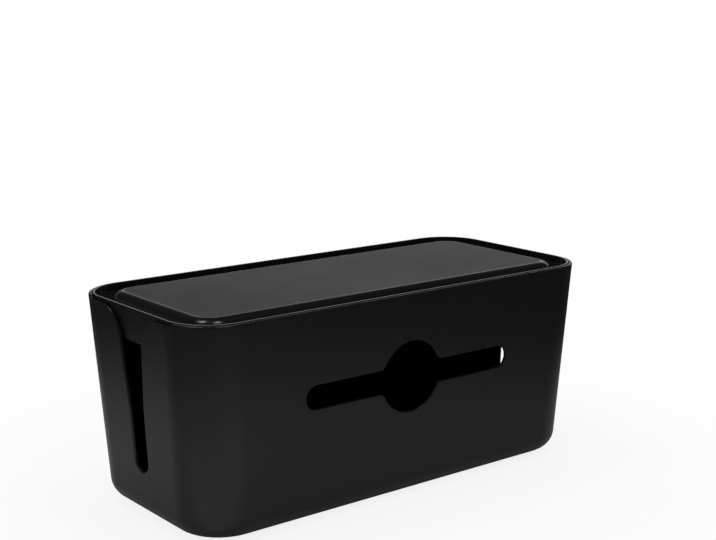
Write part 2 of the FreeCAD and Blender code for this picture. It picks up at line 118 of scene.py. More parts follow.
class SlotSizes(bpy.types.PropertyGroup):
    """Sizes of the slot in the front wall and of the slots in the end walls."""

    slot_length: length("Slot length", "Front slot, end to end", 162.6 * MM)
    slot_height: length("Slot height", "Height of the front slot", 15.2 * MM)
    slot_level: length("Slot level", "Middle of the front slot above the underside", 78.7 * MM)
    hole: length("Hole", "Radius of the round hole in the front slot", 23.2 * MM)
    blend: length("Blend", "Rounded corners where the slot runs into the hole", 6 * MM)
    slot_edge: length("Slot edge", "Radius of the outer edge of the front slot", 0.5 * MM)
    slot_inside: length("Slot inside", "Radius of the inner edge of the front slot", 0.9 * MM)
    notch_bottom: length("Notch bottom", "Lowest point of an end slot above the underside", 30.3 * MM)
    notch_foot: length("Notch foot", "Half width of an end slot at its bottom", 7.5 * MM)
    notch_knee: length("Notch knee", "Half width where an end slot starts to open", 7.9 * MM)
    knee_drop: length("Knee drop", "From the rim down to that place", 66 * MM)
    knee_round: length("Knee round", "Radius of the slot's side above it", 60 * MM)
    flare: length("Flare", "Radius of the round shoulder above an end slot's side", 20 * MM)
    flare_reach: length("Flare reach", "Half width of an end slot at the top of that shoulder", 32 * MM)
    step_drop: length("Step drop", "How far the end walls stay under the rim beside a slot", 1.9 * MM)
    step_reach: length("Step reach", "Half width of this lower part of the end walls", 44 * MM)
    step_round: length("Step round", "Radius of the two curves from it up to the rim", 4 * MM)
    end_steps: count("End steps", "Faces round the half circle at a slot's end", 24)
    hole_steps: count("Hole steps", "Faces round the upper or the lower side of the hole", 36)
    blend_steps: count("Blend steps", "Faces round a corner between the slot and the hole", 10)
    knee_steps: count("Knee steps", "Faces along the easing above a knee", 6)
    flare_steps: count("Flare steps", "Faces round a shoulder", 20)
    rise_steps: count("Rise steps", "Faces round each curve from a lower part up to the rim", 4)


class LidSizes(bpy.types.PropertyGroup):
    """Sizes of the lid. Its top and the flaps' lower edge come from the frame."""

    top: length("Top", "Height of the lip and the panel above the desk", lid_high.z)
    flap_bottom: length("Flap bottom", "Height of the flaps' lower edge above the desk", lid_low.z)
    gap: length("Gap", "Play between the lid and the walls", 0.4 * MM)
    lip_wall: length("Lip wall", "Thickness of the lip, the skirt and the flaps", 1.6 * MM)
    lip_round: length("Lip round", "Radius of the lip's top edges", 0.4 * MM)
    plate: length("Plate", "Thickness of the plate and the panel", 2 * MM)
    groove_depth: length("Groove depth", "From the panel's top down to the groove", 5.6 * MM)
    groove_round: length("Groove round", "Radius in the corners of the groove", 1.2 * MM)
    panel_inset: length("Panel inset", "From the tub's outside to the flat of the panel", 21.9 * MM)
    panel_round: length("Panel round", "Radius of the panel's edge", 8 * MM)
    panel_steps: count("Panel steps", "Faces across the rounding of the panel", 10)
    flap_width: length("Flap width", "Width of a flap", 48 * MM)
    flap_corner: length("Flap corner", "Radius of a flap's lower corners", 4 * MM)
    flap_edge: length("Flap edge", "Radius of a flap's lower edges", 0.4 * MM)


class FootSizes(bpy.types.PropertyGroup):
    """Sizes of a foot. Its place and height come from the frame."""

    radius: length("Radius", "Radius of a foot", (foot_high.x - foot_low.x) / 2)
    height: length("Height", "From the desk to the top of the foot in its seat", foot_high.z)
    edge: length("Edge", "Radius of a foot's lower edge", 0.5 * MM)
    dish: length("Dish", "Depth of the hollow under a foot", 0.25 * MM)
    steps: count("Steps", "Faces round a foot", 64)


class Finishes(bpy.types.PropertyGroup):
    """Colours and gloss of the moulded plastic and the rubber."""

    plastic: colour("Plastic", "Colour of the moulded plastic", (0.0050, 0.0048, 0.0046))
    tub_roughness: share("Tub roughness", "Roughness of the tub", 0.27)
    lid_roughness: share("Lid roughness", "Roughness of the lid's lip, groove and flaps", 0.20)
    panel_roughness: share("Panel roughness", "Roughness of the grained top of the lid's panel", 0.44)
    shine: share("Shine", "Specular level of the plastic", 0.5)
    rubber: colour("Rubber", "Colour of the feet", (0.016, 0.016, 0.016))


class Studio(bpy.types.PropertyGroup):
    """The camera, the floor, the surroundings and the lamps."""

    camera_place: bpy.props.FloatVectorProperty(
        name="Camera place", description="Where the camera stands", size=3, unit="LENGTH",
        default=(-0.53599, -0.69365, 0.31578), precision=5)
    camera_turn: bpy.props.FloatProperty(
        name="Camera turn", description="Turn of the view from +Y towards +X", unit="ROTATION",
        default=math.radians(38.339))
    camera_drop: bpy.props.FloatProperty(
        name="Camera drop", description="How far the view looks down", unit="ROTATION",
        default=math.radians(11.547))
    focal: bpy.props.FloatProperty(
        name="Focal length", description="In millimetres, for the sensor's width", default=68.56)
    sensor: bpy.props.FloatProperty(
        name="Sensor", description="Width of the camera's sensor in millimetres", default=36)
    floor_size: length("Floor size", "Across the round floor, which fades out towards its edge", 1.1)
    floor_whole: length("Floor whole", "How far from the middle the floor starts to fade out", 0.45)
    floor: colour("Floor", "Colour of the floor", (0.93, 0.93, 0.93))
    keep_shadow: share("Shadow", "Share of the floor under the box that keeps its shadow", 0.15)
    shadow_near: length("Shadow near", "How far from the middle the shadow starts to fade", 0.2)
    shadow_far: length("Shadow far", "How far from the middle the shadow ends", 0.4)
    sky: share("Sky", "Strength of the light from all round", 0.75)
    ceiling: share("Ceiling", "Brightness of the ceiling in reflections", 0.03)
    # Painted shade on the floor, seen only in reflections: its colour is scaled to these brightnesses,
    # darker away from the box and on the right.
    floor_mirrored: share("Floor mirrored", "Brightness of the floor in reflections", 0.46)
    floor_bright: length("Floor bright", "How far from the middle the floor stays as bright", 0.14)
    painted_shade_right: share("Dim side", "Share of that brightness that is left on the right", 0.3)
    dim_from: length("Dim from", "How far to the right the floor is at its dimmest", 0.55)
    backdrop_mirrored: share("Backdrop mirrored", "Brightness of the backdrop in reflections", 1.0)
    backdrop_turn: bpy.props.FloatProperty(
        name="Backdrop turn", description="Turn of the backdrop's middle from the view to the right",
        unit="ROTATION", default=math.radians(9))
    around: share("Around", "Share of the backdrop's brightness that is seen all round", 0.12)
    lamp_distance: length("Lamp distance", "From the box to the lamps", 1.5)
    lamp_width: length("Lamp width", "Across each round lamp", 0.4)


# The ranges in which the backdrop fades: two of the sine of the height above the horizon, and one of the
# cosine of the angle from the backdrop's middle.
BACKDROP_FOOT = (0.11, 0.19)
BACKDROP_TOP = (0.24, 0.42)
BACKDROP_SIDE = (0.84, 0.95)

# In reflections the floor has a painted light before the near corner of the box: how far inside the tub's
# bounds that corner is, the range of the cosine of the angle between the view and the direction from the
# corner, and how much brighter this painted light makes the floor.
CORNER_INSET = (0.02, 0.01)
CORNER_FLOOR = (-0.7, -0.1)
CORNER_PAINTED_LIGHT = 1.5

# The lamps look at the middle of the box, this far above the desk.
LAMP_TARGET = 0.08

# Name, turn from the camera's side and height above the horizon in degrees, and watts.
LAMPS = (("lamp_left", 99, 70, 2.4), ("lamp_right", -70, 77, 2.2))


# Modelling tools

def deselect_all():
    """Leaves edit mode and deselects every object."""
    if bpy.context.object and bpy.context.object.mode != "OBJECT":
        bpy.ops.object.mode_set(mode="OBJECT")
    bpy.ops.object.select_all(action="DESELECT")


def name_new(name):
    """Names the object that an operator has just added."""
    piece = bpy.context.object
    piece.name = name
    piece.data.name = name
    return piece


def add_block(name, size, bottom, top):
    """A block about the Z axis, with its size along X and Y and its lower and upper level."""
    deselect_all()
    bpy.ops.mesh.primitive_cube_add(size=1, location=(0, 0, (bottom + top) / 2))
    piece = name_new(name)
    piece.scale = (size[0], size[1], top - bottom)
    bpy.ops.object.transform_apply(location=True, rotation=True, scale=True)
    return piece


def select_only(piece):
    """Makes one piece the active one, with nothing else selected."""
    deselect_all()
    bpy.context.view_layer.objects.active = piece
    piece.select_set(True)


def edit(piece):
    """Goes into edit mode on one piece."""
    select_only(piece)
    bpy.ops.object.mode_set(mode="EDIT")


def pick(piece, kind, test):
    """Selects only those vertices, edges or faces that pass the test."""
    bpy.ops.mesh.select_mode(type=kind)
    bpy.ops.mesh.select_all(action="DESELECT")
    mesh = bmesh.from_edit_mesh(piece.data)
    items = {"VERT": mesh.verts, "EDGE": mesh.edges, "FACE": mesh.faces}[kind]
    chosen = [item for item in items if test(item)]
    for item in chosen:
        item.select_set(True)
    mesh.select_flush_mode()
    bmesh.update_edit_mesh(piece.data)
    if not chosen:
        raise RuntimeError("nothing to pick on " + piece.name)


def at_level(level):
    """A test for edges or faces that lie level at a height."""
    return lambda item: all(abs(vertex.co.z - level) < SAME_PLACE for vertex in item.verts)


def level_face(level, up):
    """A test for faces that lie level at a height and look up, or down."""
    return lambda face: at_level(level)(face) and face.normal.z * (1 if up else -1) > 0.5


def is_sharp(edge, degrees=45):
    """Whether the faces beside an edge meet at more than an angle."""
    return edge.calc_face_angle(0) > math.radians(degrees)


def bevel(width, steps):
    """Rounds the selected edges."""
    bpy.ops.mesh.bevel(
        offset=width, segments=steps, profile=0.5, affect="EDGES", offset_type="OFFSET",
        clamp_overlap=False, loop_slide=True)


def move_selected(x, y, z):
    """Moves what is selected."""
    bpy.ops.transform.translate(value=(x, y, z))


def along_axis(axis, distance):
    """A shift along X, which is axis 0, or along Y, which is axis 1."""
    shift = [0, 0, 0]
    shift[axis] = distance
    return shift


def extrude_selected(x, y, z):
    """Extrudes the selected faces and moves the new ones."""
    bpy.ops.mesh.extrude_region_move(TRANSFORM_OT_translate={"value": (x, y, z)})


def inset_selected(width, rise=0):
    """Insets the selected face by a width, and lifts its middle along its normal."""
    bpy.ops.mesh.inset(
        thickness=width, depth=rise, use_boundary=True, use_even_offset=True,
        use_relative_offset=False)


def run_modifier(piece, kind, **settings):
    """Adds a modifier, sets it up and applies it."""
    select_only(piece)
    modifier = piece.modifiers.new(kind.title(), kind)
    for name, value in settings.items():
        setattr(modifier, name, value)
    bpy.ops.object.modifier_apply(modifier=modifier.name)


def combine(piece, tool, operation):
    """Cuts another object out of the piece, or joins it to the piece, and removes that object."""
    run_modifier(piece, "BOOLEAN", object=tool, operation=operation, solver="EXACT")
    bpy.data.objects.remove(tool)


def recalculate_normals(piece):
    """Turns the faces of a closed piece outwards."""
    edit(piece)
    bpy.ops.mesh.select_all(action="SELECT")
    bpy.ops.mesh.remove_doubles(threshold=MERGE_WITHIN)
    bpy.ops.mesh.normals_make_consistent(inside=False)
    bpy.ops.object.mode_set(mode="OBJECT")


def finish_surface(piece):
    """Smooth shading that keeps flat faces flat and sharp edges sharp."""
    select_only(piece)
    bpy.ops.object.shade_smooth_by_angle(angle=SMOOTH_UP_TO)
    run_modifier(piece, "WEIGHTED_NORMAL", mode="FACE_AREA", weight=50, keep_sharp=True)


class Outline:
    """A flat outline drawn with straight runs and arcs, then filled and extruded into a solid."""

    def __init__(self, name, start, axis):
        deselect_all()
        bpy.ops.mesh.primitive_plane_add(size=1)
        self.piece = name_new(name)
        self.axis = axis
        self.here = Vector(start)
        edit(self.piece)
        bpy.ops.mesh.select_mode(type="VERT")
        bpy.ops.mesh.select_all(action="SELECT")
        bpy.ops.mesh.merge(type="CENTER")
        move_selected(*self.here)

    def run(self, place):
        """A straight run to a place."""
        step = Vector(place) - self.here
        bpy.ops.mesh.extrude_vertices_move(TRANSFORM_OT_translate={"value": step})
        self.here = Vector(place)

    def turn(self, centre, degrees, steps):
        """An arc about a centre. Degrees above zero turn anticlockwise, seen against the axis."""
        angle = math.radians(degrees)
        bpy.ops.mesh.spin(steps=steps, angle=-angle, center=centre, axis=self.axis)
        away = self.here - Vector(centre)
        away.rotate(Quaternion(self.axis, angle))
        self.here = Vector(centre) + away

    def solid(self, depth):
        """Closes the outline, fills it and extrudes it by a vector."""
        bpy.ops.mesh.select_all(action="SELECT")
        bpy.ops.mesh.remove_doubles(threshold=SAME_PLACE)
        bpy.ops.mesh.edge_face_add()
        extrude_selected(*depth)
        bpy.ops.object.mode_set(mode="OBJECT")
        recalculate_normals(self.piece)
        return self.piece


# Tub

def leaning_block(name, sizes, inset, bottom, top):
    """A block with the tub's leaning walls and upright round corners, moved in by an inset."""
    height = sizes.rim - sizes.underside

    def across(level):
        down = (sizes.rim - level) / height
        return (
            sizes.rim_length - 2 * (sizes.end_lean * down + inset),
            sizes.rim_width - 2 * (sizes.side_lean * down + inset))

    low = across(bottom)
    high = across(top)
    piece = add_block(name, low, bottom, top)
    edit(piece)
    pick(piece, "FACE", level_face(top, up=True))
    bpy.ops.transform.resize(value=(high[0] / low[0], high[1] / low[1], 1))
    pick(piece, "EDGE", lambda edge: abs(edge.verts[0].co.z - edge.verts[1].co.z) > SLACK)
    bevel(sizes.corner - inset, steps=sizes.corner_steps)
    return piece


def add_ribs(tub, sizes):
    """Joins the ribs that carry the lid to the inside of the walls."""
    height = sizes.rim - sizes.underside
    walls = (
        (0, sizes.rim_length / 2, sizes.end_lean / height, sizes.rib_across),
        (1, sizes.rim_width / 2, sizes.side_lean / height, sizes.rib_along))
    for across, outside, lean, aside in walls:
        face = outside - sizes.wall - lean * sizes.seat_depth
        for side in (-1, 1):
            for end in (-1, 1):
                combine(tub, leaning_rib(sizes, across, side, end * aside, face, lean), "UNION")


def leaning_rib(sizes, across, side, aside, face, lean):
    """A rib on one wall. Its back slants to its front edge, and its foot runs out into the wall."""
    seat = sizes.rim - sizes.seat_depth
    buried = sizes.wall / 2
    half = sizes.rib_width / 2
    foot = seat - (sizes.rib_reach + buried) / lean
    rib = add_block("rib", (sizes.rib_width, sizes.rib_width), foot, seat)
    edit(rib)
    bpy.ops.mesh.select_all(action="SELECT")
    move_selected(*along_axis(1 - across, aside))
    for outer, shift in ((True, face + buried - half), (False, face - sizes.rib_reach + half)):
        pick(rib, "VERT", lambda vertex: (vertex.co[across] * side > 0) == outer)
        move_selected(*along_axis(across, side * shift))

    def on_back_of_foot(edge):
        return all(
            vertex.co[across] * side > face and vertex.co.z < seat - SLACK for vertex in edge.verts)

    pick(rib, "EDGE", on_back_of_foot)
    move_selected(*along_axis(across, -side * (buried + sizes.rib_reach) * sizes.rib_taper))
    bpy.ops.object.mode_set(mode="OBJECT")
    return rib


def front_slot_tool(tub, slots):
    """The solid that cuts the slot and its round hole out of the front wall."""
    level = tub.underside + slots.slot_level
    half = slots.slot_height / 2
    reach = slots.slot_length / 2 - half
    rise = half + slots.blend
    aside = math.sqrt((slots.hole + slots.blend) ** 2 - rise ** 2)
    turn = math.degrees(math.atan2(rise, aside))
    front = -tub.rim_width

    def place(x, z):
        return (x, front, level + z)

    # Seen from the front, the outline runs anticlockwise from the lower right: first round the right end
    # and over the hole, then the same from the left end. The axis points at the viewer.
    outline = Outline("front_slot_tool", place(reach, -half), (0, -1, 0))
    for way in (1, -1):
        outline.turn(place(way * reach, 0), 180, slots.end_steps)
        outline.run(place(way * aside, way * half))
        outline.turn(place(way * aside, way * rise), turn - 90, slots.blend_steps)
        outline.turn(place(0, 0), 180 - 2 * turn, slots.hole_steps)
        outline.turn(place(-way * aside, way * rise), turn - 90, slots.blend_steps)
        outline.run(place(-way * reach, way * half))
    return outline.solid((0, tub.rim_width, 0))


def shared_tangent(first, first_radius, second, second_radius):
    """The angle at which a line touches two circles. One on the line's other side has a minus radius."""
    away = Vector(second) - Vector(first)
    spread = math.acos((first_radius - second_radius) / away.length)
    return math.degrees(math.atan2(away.y, away.x) + spread)


def on_circle(centre, radius, degrees):
    """The place on a circle at an angle."""
    angle = math.radians(degrees)
    return (centre[0] + radius * math.cos(angle), centre[1] + radius * math.sin(angle))


def end_slot_tool(tub, slots):
    """The solid that cuts the slots out of both end walls."""
    start_x = -tub.rim_length
    foot = (0, tub.underside + slots.notch_bottom + slots.notch_foot)
    knee = (slots.notch_knee + slots.knee_round, tub.rim - slots.knee_drop)
    step = tub.rim - slots.step_drop
    flare = (slots.flare_reach, step - slots.flare)
    low = shared_tangent(foot, -slots.notch_foot, knee, slots.knee_round)
    high = shared_tangent(knee, slots.knee_round, flare, slots.flare)
    above = tub.rim + slots.flare
    bend = math.acos(1 - slots.step_drop / (2 * slots.step_round))
    step_end = slots.step_reach + 2 * slots.step_round * math.sin(bend)
    step_low = (slots.step_reach, step + slots.step_round)
    step_high = (step_end, tub.rim - slots.step_round)

    def place(y, z):
        return (start_x, y, z)

    def mirrored(spot):
        return (-spot[0], spot[1])

    # Seen from the right, the outline runs down the left side and up the right side.
    outline = Outline("end_slot_tool", place(-step_end, above), (1, 0, 0))
    outline.run(place(-step_end, tub.rim))
    outline.turn(place(*mirrored(step_high)), -math.degrees(bend), slots.rise_steps)
    outline.turn(place(*mirrored(step_low)), math.degrees(bend), slots.rise_steps)
    outline.run(place(-slots.flare_reach, step))
    outline.turn(place(*mirrored(flare)), 90 - high, slots.flare_steps)
    outline.run(place(*mirrored(on_circle(knee, slots.knee_round, high))))
    outline.turn(place(*mirrored(knee)), high - low, slots.knee_steps)
    outline.run(place(*mirrored(on_circle(foot, slots.notch_foot, low + 180))))
    outline.turn(place(*foot), 2 * low - 180, slots.end_steps)
    outline.run(place(*on_circle(knee, slots.knee_round, low)))
    outline.turn(place(*knee), high - low, slots.knee_steps)
    outline.run(place(*on_circle(flare, slots.flare, high)))
    outline.turn(place(*flare), 90 - high, slots.flare_steps)
    outline.run(place(slots.step_reach, step))
    outline.turn(place(*step_low), math.degrees(bend), slots.rise_steps)
    outline.turn(place(*step_high), -math.degrees(bend), slots.rise_steps)
    outline.run(place(step_end, above))
    outline.run(place(-step_end, above))
    return outline.solid((2 * tub.rim_length, 0, 0))


class CABLEBOX_OT_tub(bpy.types.Operator):
    """Models the open tub, with its slots and the ribs that carry the lid"""

    bl_idname = "cablebox.tub"
    bl_label = "Tub"

    def execute(self, context):
        sizes = context.scene.cablebox_tub
        slots = context.scene.cablebox_slots
        tub = leaning_block("tub_shell", sizes, 0, sizes.underside, sizes.rim)
        pick(tub, "FACE", level_face(sizes.rim, up=True))
        bpy.ops.mesh.delete(type="FACE")
        pick(tub, "EDGE", at_level(sizes.underside))
        bevel(sizes.base_round, steps=sizes.base_steps)
        bpy.ops.object.mode_set(mode="OBJECT")
        run_modifier(tub, "SOLIDIFY", thickness=sizes.wall, offset=-1, use_even_offset=True)

        # The rim has come out square to the leaning walls, and is made level.
        edit(tub)
        pick(tub, "VERT", lambda vertex: vertex.co.z > sizes.rim - SLACK)
        bpy.ops.transform.resize(value=(1, 1, 0), center_override=(0, 0, sizes.rim))
        bpy.ops.object.mode_set(mode="OBJECT")

        add_ribs(tub, sizes)
        combine(tub, front_slot_tool(sizes, slots), "DIFFERENCE")
        combine(tub, end_slot_tool(sizes, slots), "DIFFERENCE")
        recalculate_normals(tub)
        round_rim(tub, sizes, slots)
        round_slot_edges(tub, sizes, slots)
        finish_surface(tub)
        plastic = moulded_plastic("tub_plastic_moulded", context.scene, is_lid=False)
        tub.data.materials.append(plastic)
        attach(tub, "box")
        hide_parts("tub")
        return {"FINISHED"}


def inset_of(spot, sizes):
    """How far inside the outer face of the walls a place is."""
    down = (sizes.rim - spot.z) / (sizes.rim - sizes.underside)
    past_x = max(abs(spot.x) - sizes.rim_length / 2 + sizes.end_lean * down + sizes.corner, 0)
    past_y = max(abs(spot.y) - sizes.rim_width / 2 + sizes.side_lean * down + sizes.corner, 0)
    return sizes.corner - math.hypot(past_x, past_y)


def round_rim(tub, sizes, slots):
    """Rounds the outer edge of the rim and the end slots, then the inner edge."""
    middle = sizes.wall / 2

    def on_end_slot(spot):
        return (
            abs(spot.x) > sizes.rim_length / 2 - sizes.end_lean - 1.5 * sizes.wall
            and abs(spot.y) < slots.step_reach + 2 * slots.step_round
            and spot.z > sizes.underside + slots.notch_bottom - SLACK)

    def on_edge(edge, nearest, farthest):
        spots = [vertex.co for vertex in edge.verts]
        at_opening = at_level(sizes.rim)(edge) or all(on_end_slot(spot) for spot in spots)
        on_face = all(nearest < inset_of(spot, sizes) < farthest for spot in spots)
        return at_opening and on_face and is_sharp(edge)

    edit(tub)
    pick(tub, "EDGE", lambda edge: on_edge(edge, -middle, middle))
    bevel(sizes.rim_round, steps=5)
    pick(tub, "EDGE", lambda edge: on_edge(edge, middle, 3 * middle))
    bevel(sizes.rim_inside, steps=3)
    bpy.ops.object.mode_set(mode="OBJECT")


def round_slot_edges(tub, sizes, slots):
    """Rounds the outer and the inner edge of the front slot and its hole."""
    level = sizes.underside + slots.slot_level
    middle = sizes.wall / 2

    def on_slot(edge, nearest, farthest):
        inside = all(
            abs(vertex.co.x) < slots.slot_length / 2 + SLACK
            and abs(vertex.co.z - level) < slots.hole + SLACK
            and vertex.co.y < 0
            and nearest < inset_of(vertex.co, sizes) < farthest
            for vertex in edge.verts)
        return inside and is_sharp(edge)

    edit(tub)
    pick(tub, "EDGE", lambda edge: on_slot(edge, -middle, middle))
    bevel(slots.slot_edge, steps=3)
    pick(tub, "EDGE", lambda edge: on_slot(edge, middle, 3 * middle))
    bevel(slots.slot_inside, steps=4)
    bpy.ops.object.mode_set(mode="OBJECT")


# Lid

def arc_steps(radius, start_height, steps):
    """The widths and rises that follow a quarter circle from a height up to its top."""
    start = math.asin(start_height / radius)
    angles = [start + (math.pi / 2 - start) * step / steps for step in range(steps + 1)]
    spots = [(-radius * math.cos(angle), radius * math.sin(angle)) for angle in angles]
    return [(after[0] - before[0], after[1] - before[1]) for before, after in zip(spots, spots[1:])]


class CABLEBOX_OT_lid(bpy.types.Operator):
    """Models the lid, with its lip, groove, raised panel, skirt and flaps"""

    bl_idname = "cablebox.lid"
    bl_label = "Lid"

    def execute(self, context):
        tub = context.scene.cablebox_tub
        sizes = context.scene.cablebox_lid
        inset = tub.wall + sizes.gap
        seat = tub.rim - tub.seat_depth
        groove = sizes.top - sizes.groove_depth
        underside = groove - sizes.plate

        lid = leaning_block("lid_shell", tub, inset, seat, sizes.top)
        pick(lid, "FACE", level_face(sizes.top, up=True))
        inset_selected(sizes.lip_wall)
        extrude_selected(0, 0, -sizes.groove_depth)
        raise_panel(sizes, inset + sizes.lip_wall, groove, sizes.panel_round, way=1)
        pick(lid, "FACE", level_face(seat, up=False))
        inset_selected(sizes.lip_wall)
        extrude_selected(0, 0, underside - seat)
        inner_round = sizes.panel_round - sizes.plate
        raise_panel(sizes, inset + sizes.lip_wall, underside, inner_round, way=-1)
        add_flaps(lid, tub, sizes, seat)

        pick(lid, "EDGE", lambda edge: at_level(groove)(edge) and is_sharp(edge, degrees=20))
        bevel(sizes.groove_round, steps=4)
        pick(lid, "EDGE", lambda edge: at_level(sizes.top)(edge) and is_sharp(edge, degrees=60))
        bevel(sizes.lip_round, steps=4)
        bpy.ops.object.mode_set(mode="OBJECT")
        finish_surface(lid)
        plastic = moulded_plastic("lid_plastic_moulded", context.scene, is_lid=True)
        lid.data.materials.append(plastic)
        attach(lid, "lid")
        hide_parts("lid")
        return {"FINISHED"}


def raise_panel(sizes, inset, level, radius, way):
    """Goes from a level face to the foot of the panel's rounding and follows it up to the panel.

    The way is 1 on top of the lid, where a face looks up, and -1 underneath.
    """
    start = level - (sizes.top - sizes.panel_round)
    foot = math.sqrt(radius ** 2 - start ** 2)
    inset_selected(sizes.panel_inset - foot - inset)
    for width, rise in arc_steps(radius, start, sizes.panel_steps):
        inset_selected(width, rise=way * rise)


def add_flaps(lid, tub, sizes, seat):
    """Extends the skirt downwards at each end, and rounds the corners of the two flaps."""
    half = sizes.flap_width / 2
    drop = seat - sizes.flap_bottom
    lean_in = tub.end_lean * drop / (tub.rim - tub.underside)
    for side in (-1, 1):
        pick(lid, "FACE", level_face(seat, up=False))
        bpy.ops.mesh.bisect(plane_co=(0, side * half, 0), plane_no=(0, 1, 0))

    def on_end(face, side):
        middle = face.calc_center_median()
        return level_face(seat, up=False)(face) and middle.x * side > 0 and abs(middle.y) < half

    def at_corner(edge):
        first, second = (vertex.co.y for vertex in edge.verts)
        return (
            at_level(sizes.flap_bottom)(edge) and abs(first - second) < SAME_PLACE
            and abs(abs(first) - half) < SAME_PLACE)

    def on_lower_edge(edge):
        corner_top = sizes.flap_bottom + sizes.flap_corner + SAME_PLACE
        return all(vertex.co.z < corner_top for vertex in edge.verts) and is_sharp(edge, degrees=60)

    for side in (-1, 1):
        pick(lid, "FACE", lambda face: on_end(face, side))
        extrude_selected(-side * lean_in, 0, -drop)
    pick(lid, "EDGE", at_corner)
    bevel(sizes.flap_corner, steps=8)
    pick(lid, "EDGE", on_lower_edge)
    bevel(sizes.flap_edge, steps=2)


# Feet

class CABLEBOX_OT_feet(bpy.types.Operator):
    """Models the four rubber feet"""

    bl_idname = "cablebox.feet"
    bl_label = "Feet"

    def execute(self, context):
        sizes = context.scene.cablebox_foot
        rubber = moulded_rubber("foot_rubber_moulded", context.scene.cablebox_finish)
        for node in sorted(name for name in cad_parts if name.startswith("foot_")):
            low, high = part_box(node)
            foot = add_foot(node + "_disc", sizes)
            foot.location = ((low.x + high.x) / 2, (low.y + high.y) / 2, 0)
            bpy.ops.object.transform_apply(location=True, rotation=False, scale=False)
            foot.data.materials.append(rubber)
            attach(foot, "box")
            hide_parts(node)
        return {"FINISHED"}


def add_foot(name, sizes):
    """One foot about the Z axis: a disc with a rounded lower edge and a shallow hollow underneath."""
    deselect_all()
    bpy.ops.mesh.primitive_cylinder_add(
        vertices=sizes.steps, radius=sizes.radius, depth=sizes.height, location=(0, 0, sizes.height / 2))
    bpy.ops.object.transform_apply(location=True, rotation=True, scale=True)
    foot = name_new(name)
    edit(foot)
    pick(foot, "FACE", level_face(0, up=False))
    inset_selected(sizes.radius / 3)
    inset_selected(sizes.dish, rise=-sizes.dish)
    pick(foot, "EDGE", lambda edge: at_level(0)(edge) and is_sharp(edge, degrees=60))
    bevel(sizes.edge, steps=4)
    bpy.ops.object.mode_set(mode="OBJECT")
    finish_surface(foot)
    return foot


# Materials

# Blotches to the metre in the plastic and the rubber.
CLOUD_SCALE = 9
WAVE_SCALE = 14
STREAK_SCALE = 55
GRAIN_SCALE = 2600
RUBBER_SCALE = 3000


class Value:
    """A value inside a material. Arithmetic on it adds Math nodes."""

    def __init__(self, finish, socket):
        self.finish = finish
        self.socket = socket

    def maths(self, operation, first, second):
        return self.finish.add("ShaderNodeMath", {"operation": operation}, {0: first, 1: second})

    def __add__(self, other):
        return self.maths("ADD", self, other)

    def __radd__(self, other):
        return self.maths("ADD", other, self)

    def __sub__(self, other):
        return self.maths("SUBTRACT", self, other)

    def __rsub__(self, other):
        return self.maths("SUBTRACT", other, self)

    def __mul__(self, other):
        return self.maths("MULTIPLY", self, other)


class Finish:
    """A new material, and a way to add its nodes."""

    output_kind = "ShaderNodeOutputMaterial"

    def __init__(self, name):
        self.start(bpy.data.materials.new(name))

    def start(self, owner):
        """Clears the nodes of a new material or world."""
        owner.use_nodes = True
        self.owner = owner
        self.tree = owner.node_tree
        self.tree.nodes.clear()

    def add(self, kind, settings, inputs, output=0):
        """Adds a node, sets it up, fills its inputs with values or links, and gives one output."""
        node = self.tree.nodes.new(kind)
        for name, value in settings.items():
            setattr(node, name, value)
        for name, value in inputs.items():
            if isinstance(value, Value):
                self.tree.links.new(value.socket, node.inputs[name])
            else:
                node.inputs[name].default_value = value
        return Value(self, node.outputs[output])

    def place(self):
        """Where a point lies on the piece, in metres."""
        return self.add("ShaderNodeTexCoord", {}, {}, "Object")

    def vector(self, operation, first, second=(0, 0, 0), output="Vector"):
        """A vector or a number worked out from one or two vectors."""
        return self.add("ShaderNodeVectorMath", {"operation": operation}, {0: first, 1: second}, output)

    def dot(self, first, second):
        """How far one vector goes along another."""
        return self.vector("DOT_PRODUCT", first, second, "Value")

    def inset(self, place, sizes):
        """How far inside the rim's outline a point lies, seen from above."""
        core = (sizes.rim_length / 2 - sizes.corner, sizes.rim_width / 2 - sizes.corner, 1)
        past = self.vector("SUBTRACT", self.vector("ABSOLUTE", place), core)
        past = self.vector("MAXIMUM", past, (0, 0, 0))
        return sizes.corner - self.vector("LENGTH", past, output="Value")

    def noise(self, place, scale, detail, roughness=0.5):
        """A cloudy pattern with a number of blotches to the metre, from 0 to 1."""
        inputs = {"Vector": place, "Scale": scale, "Detail": detail, "Roughness": roughness}
        return self.add("ShaderNodeTexNoise", {}, inputs, "Fac")

    def fade(self, value, low, high, start, end):
        """A value carried from one range to another, smoothly, with both ends held."""
        inputs = {
            "Value": value, "From Min": low, "From Max": high, "To Min": start, "To Max": end}
        return self.add("ShaderNodeMapRange", {"interpolation_type": "SMOOTHSTEP"}, inputs, "Result")

    def shade(self, factor, first, second):
        """A colour between two colours."""
        inputs = {"Factor": factor, 6: first + (1,), 7: second + (1,)}
        settings = {"data_type": "RGBA", "clamp_factor": True}
        return self.add("ShaderNodeMix", settings, inputs, 2)

    def bump(self, height, strength, distance, normal=None):
        """Raises the surface by a height pattern."""
        inputs = {"Height": height, "Strength": strength, "Distance": distance}
        if normal:
            inputs["Normal"] = normal
        return self.add("ShaderNodeBump", {}, inputs, "Normal")

    def output(self, shader):
        """Ends the nodes with a shader, and gives the material or the world."""
        end = self.tree.nodes.new(self.output_kind)
        self.tree.links.new(shader.socket, end.inputs["Surface"])
        return self.owner


class World(Finish):
    """A new world, and the same way to add its nodes."""

    output_kind = "ShaderNodeOutputWorld"

    def __init__(self, name):
        self.start(bpy.data.worlds.new(name))


def scaled(tone, factor):
    """A colour made lighter or darker."""
    return tuple(part * factor for part in tone)


